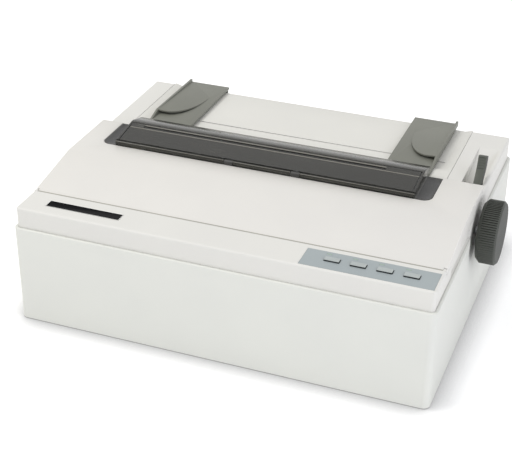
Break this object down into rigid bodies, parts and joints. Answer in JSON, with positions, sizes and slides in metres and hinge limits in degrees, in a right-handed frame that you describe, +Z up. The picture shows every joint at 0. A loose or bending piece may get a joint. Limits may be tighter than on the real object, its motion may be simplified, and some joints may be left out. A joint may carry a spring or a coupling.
{
  "type": "dot matrix printer",
  "caption": "Desktop dot matrix printer with a hinged front cover, smoked hood, tilting paper table with sliding sheet guides, platen knob, select lever and a button panel.",
  "frame": {"origin": "middle of the bounding box in X and Y, at the height of the desk", "axes": "+X to the right seen from the front, +Y to the back, +Z up"},
  "size_m": [0.4358, 0.331, 0.1505],
  "materials": {
    "lower_case": "satin",
    "upper_case": "satin",
    "rubber_feet": "satin",
    "case_screws": "satin",
    "badge_plate": "glossy",
    "control_panel": "satin",
    "panel_lamps": "glossy",
    "chassis_plate": "satin",
    "side_frame_left": "satin",
    "side_frame_right": "satin",
    "platen_bushes": "satin",
    "paper_pan": "satin",
    "feed_motor": "satin",
    "gear_studs": "satin",
    "guide_rods": "satin",
    "carriage_rail": "satin",
    "carriage_motor": "satin",
    "idler_post": "satin",
    "carriage_belt": "satin",
    "main_board": "satin",
    "power_supply": "satin",
    "power_inlet": "satin",
    "parallel_port": "satin",
    "front_cover": "satin",
    "cover_pins": "satin",
    "smoked_hood": "glossy",
    "hood_pins": "satin",
    "paper_table": "satin",
    "table_pins": "satin",
    "sheet_guide_left": "satin",
    "sheet_guide_right": "satin",
    "select_lever": "satin",
    "pinch_frame": "satin",
    "pinch_rollers": "satin",
    "platen": "satin",
    "platen_shaft": "satin",
    "platen_knob": "glossy",
    "platen_gear": "satin",
    "motor_pinion": "satin",
    "idler_gear": "satin",
    "tractor_idler": "satin",
    "tractor_shaft": "satin",
    "tractor_gear": "satin",
    "tractor_left": "satin",
    "tractor_right": "satin",
    "sprocket_left": "satin",
    "sprocket_right": "satin",
    "bail": "satin",
    "bail_rollers": "satin",
    "carriage": "satin",
    "print_head": "satin",
    "ribbon_cartridge": "satin",
    "ribbon_knob": "satin",
    "motor_pulley": "satin",
    "idler_pulley": "satin",
    "power_switch": "glossy",
    "button_1": "satin",
    "button_2": "satin",
    "button_3": "satin",
    "button_4": "satin"
  },
  "bodies": {
    "case": {"lower_case": "lower_case", "upper_case": "upper_case", "rubber_feet": "rubber_feet", "case_screws": "case_screws", "badge_plate": "badge_plate", "control_panel": "control_panel", "panel_lamps": "panel_lamps", "chassis_plate": "chassis_plate", "side_frame_left": "side_frame_left", "side_frame_right": "side_frame_right", "platen_bushes": "platen_bushes", "paper_pan": "paper_pan", "feed_motor": "feed_motor", "gear_studs": "gear_studs", "guide_rods": "guide_rods", "carriage_rail": "carriage_rail", "carriage_motor": "carriage_motor", "idler_post": "idler_post", "carriage_belt": "carriage_belt", "main_board": "main_board", "power_supply": "power_supply", "power_inlet": "power_inlet", "parallel_port": "parallel_port"},
    "cover": {"front_cover": "front_cover", "cover_pins": "cover_pins"},
    "hood": {"smoked_hood": "smoked_hood", "hood_pins": "hood_pins"},
    "table": {"paper_table": "paper_table", "table_pins": "table_pins"},
    "guide_left": {"sheet_guide_left": "sheet_guide_left"},
    "guide_right": {"sheet_guide_right": "sheet_guide_right"},
    "lever": {"select_lever": "select_lever"},
    "pinch": {"pinch_frame": "pinch_frame"},
    "pinch_rolls": {"pinch_rollers": "pinch_rollers"},
    "platen_drive": {"platen": "platen", "platen_shaft": "platen_shaft", "platen_knob": "platen_knob", "platen_gear": "platen_gear"},
    "pinion": {"motor_pinion": "motor_pinion"},
    "feed_idler": {"idler_gear": "idler_gear"},
    "link_idler": {"tractor_idler": "tractor_idler"},
    "tractor_drive": {"tractor_shaft": "tractor_shaft", "tractor_gear": "tractor_gear"},
    "tractor_l": {"tractor_left": "tractor_left"},
    "tractor_r": {"tractor_right": "tractor_right"},
    "sprocket_l": {"sprocket_left": "sprocket_left"},
    "sprocket_r": {"sprocket_right": "sprocket_right"},
    "paper_bail": {"bail": "bail"},
    "bail_rolls": {"bail_rollers": "bail_rollers"},
    "head_carriage": {"carriage": "carriage", "print_head": "print_head", "ribbon_cartridge": "ribbon_cartridge"},
    "ribbon_winder": {"ribbon_knob": "ribbon_knob"},
    "drive_pulley": {"motor_pulley": "motor_pulley"},
    "end_pulley": {"idler_pulley": "idler_pulley"},
    "rocker": {"power_switch": "power_switch"},
    "key_1": {"button_1": "button_1"},
    "key_2": {"button_2": "button_2"},
    "key_3": {"button_3": "button_3"},
    "key_4": {"button_4": "button_4"}
  },
  "joints": [
    {"name": "front_cover_hinge", "type": "hinge", "parent": "case", "child": "cover", "pos_m": [-0.0104, -0.12295, 0.1209], "axis": [1, 0, 0], "range_deg": [0, 75]},
    {"name": "hood_hinge", "type": "hinge", "parent": "cover", "child": "hood", "pos_m": [-0.0186, -0.0245, 0.137], "axis": [1, 0, 0], "range_deg": [0, 100]},
    {"name": "table_tilt", "type": "hinge", "parent": "case", "child": "table", "pos_m": [-0.0186, 0.0465, 0.1178], "axis": [1, 0, 0], "range_deg": [0, 30]},
    {"name": "guide_left_slide", "type": "slide", "parent": "table", "child": "guide_left", "axis": [1, 0, 0], "range_m": [0, 0.09]},
    {"name": "guide_right_slide", "type": "slide", "parent": "table", "child": "guide_right", "axis": [-1, 0, 0], "range_m": [0, 0.09]},
    {"name": "lever_swing", "type": "hinge", "parent": "case", "child": "lever", "pos_m": [0.1846, 0.0315, 0.084], "axis": [1, 0, 0], "range_deg": [0, 12]},
    {"name": "pinch_swing", "type": "hinge", "parent": "case", "child": "pinch", "pos_m": [-0.0186, 0.0405, 0.062], "axis": [1, 0, 0], "range_deg": [0, 6]},
    {"name": "pinch_rollers_turn", "type": "hinge", "parent": "pinch", "child": "pinch_rolls", "pos_m": [-0.0186, 0.01801, 0.07143], "axis": [1, 0, 0], "continuous": true},
    {"name": "platen_turn", "type": "hinge", "parent": "case", "child": "platen_drive", "pos_m": [-0.0186, 0.0125, 0.092], "axis": [1, 0, 0], "continuous": true},
    {"name": "pinion_turn", "type": "hinge", "parent": "case", "child": "pinion", "pos_m": [-0.1704, 0.00239, 0.03997], "axis": [1, 0, 0], "continuous": true},
    {"name": "idler_turn", "type": "hinge", "parent": "case", "child": "feed_idler", "pos_m": [-0.1704, 0.0062, 0.05961], "axis": [1, 0, 0], "continuous": true},
    {"name": "tractor_idler_turn", "type": "hinge", "parent": "case", "child": "link_idler", "pos_m": [-0.1704, 0.04716, 0.09687], "axis": [1, 0, 0], "continuous": true},
    {"name": "tractor_shaft_turn", "type": "hinge", "parent": "case", "child": "tractor_drive", "pos_m": [-0.1704, 0.07786, 0.10118], "axis": [1, 0, 0], "continuous": true},
    {"name": "tractor_left_slide", "type": "slide", "parent": "case", "child": "tractor_l", "axis": [1, 0, 0], "range_m": [0, 0.06]},
    {"name": "tractor_right_slide", "type": "slide", "parent": "case", "child": "tractor_r", "axis": [-1, 0, 0], "range_m": [0, 0.06]},
    {"name": "sprocket_left_turn", "type": "hinge", "parent": "tractor_l", "child": "sprocket_l", "pos_m": [-0.1256, 0.07786, 0.10118], "axis": [1, 0, 0], "continuous": true},
    {"name": "sprocket_right_turn", "type": "hinge", "parent": "tractor_r", "child": "sprocket_r", "pos_m": [0.0884, 0.07786, 0.10118], "axis": [1, 0, 0], "continuous": true},
    {"name": "bail_swing", "type": "hinge", "parent": "case", "child": "paper_bail", "pos_m": [-0.0186, 0.0305, 0.1], "axis": [1, 0, 0], "range_deg": [-40, 0]},
    {"name": "bail_rollers_turn", "type": "hinge", "parent": "paper_bail", "child": "bail_rolls", "pos_m": [-0.0186, -0.00183, 0.10908], "axis": [1, 0, 0], "continuous": true},
    {"name": "carriage_travel", "type": "slide", "parent": "case", "child": "head_carriage", "axis": [1, 0, 0], "range_m": [0, 0.206]},
    {"name": "ribbon_knob_turn", "type": "hinge", "parent": "head_carriage", "child": "ribbon_winder", "pos_m": [-0.1576, -0.0475, 0.112], "axis": [0, 0, 1], "continuous": true},
    {"name": "motor_pulley_turn", "type": "hinge", "parent": "case", "child": "drive_pulley", "pos_m": [-0.1426, -0.0655, 0.063], "axis": [0, 0, 1], "range_deg": [0, 1360]},
    {"name": "idler_pulley_turn", "type": "hinge", "parent": "case", "child": "end_pulley", "pos_m": [0.1074, -0.0655, 0.063], "axis": [0, 0, 1], "range_deg": [0, 1360]},
    {"name": "power_rocker", "type": "hinge", "parent": "case", "child": "rocker", "pos_m": [-0.1339, 0.157, 0.0282], "axis": [1, 0, 0], "range_deg": [0, 14]},
    {"name": "button_1_press", "type": "slide", "parent": "case", "child": "key_1", "axis": [0, 0, -1], "range_m": [0, 0.001], "stiffness_N_per_m": 300},
    {"name": "button_2_press", "type": "slide", "parent": "case", "child": "key_2", "axis": [0, 0, -1], "range_m": [0, 0.001], "stiffness_N_per_m": 300},
    {"name": "button_3_press", "type": "slide", "parent": "case", "child": "key_3", "axis": [0, 0, -1], "range_m": [0, 0.001], "stiffness_N_per_m": 300},
    {"name": "button_4_press", "type": "slide", "parent": "case", "child": "key_4", "axis": [0, 0, -1], "range_m": [0, 0.001], "stiffness_N_per_m": 300}
  ],
  "couplings": [
    {"joint": "pinch_swing", "follows": "lever_swing", "ratio": 0.5},
    {"joint": "pinion_turn", "follows": "platen_turn", "ratio": 2.8571},
    {"joint": "idler_turn", "follows": "platen_turn", "ratio": -1.5385},
    {"joint": "tractor_idler_turn", "follows": "platen_turn", "ratio": -1.3333},
    {"joint": "tractor_shaft_turn", "follows": "platen_turn", "ratio": 1.25},
    {"joint": "sprocket_left_turn", "follows": "platen_turn", "ratio": 1.25},
    {"joint": "sprocket_right_turn", "follows": "platen_turn", "ratio": 1.25},
    {"joint": "pinch_rollers_turn", "follows": "platen_turn", "ratio": -3.2},
    {"joint": "motor_pulley_turn", "follows": "carriage_travel", "rad_per_m": 114.94},
    {"joint": "idler_pulley_turn", "follows": "carriage_travel", "rad_per_m": 114.94}
  ]
}
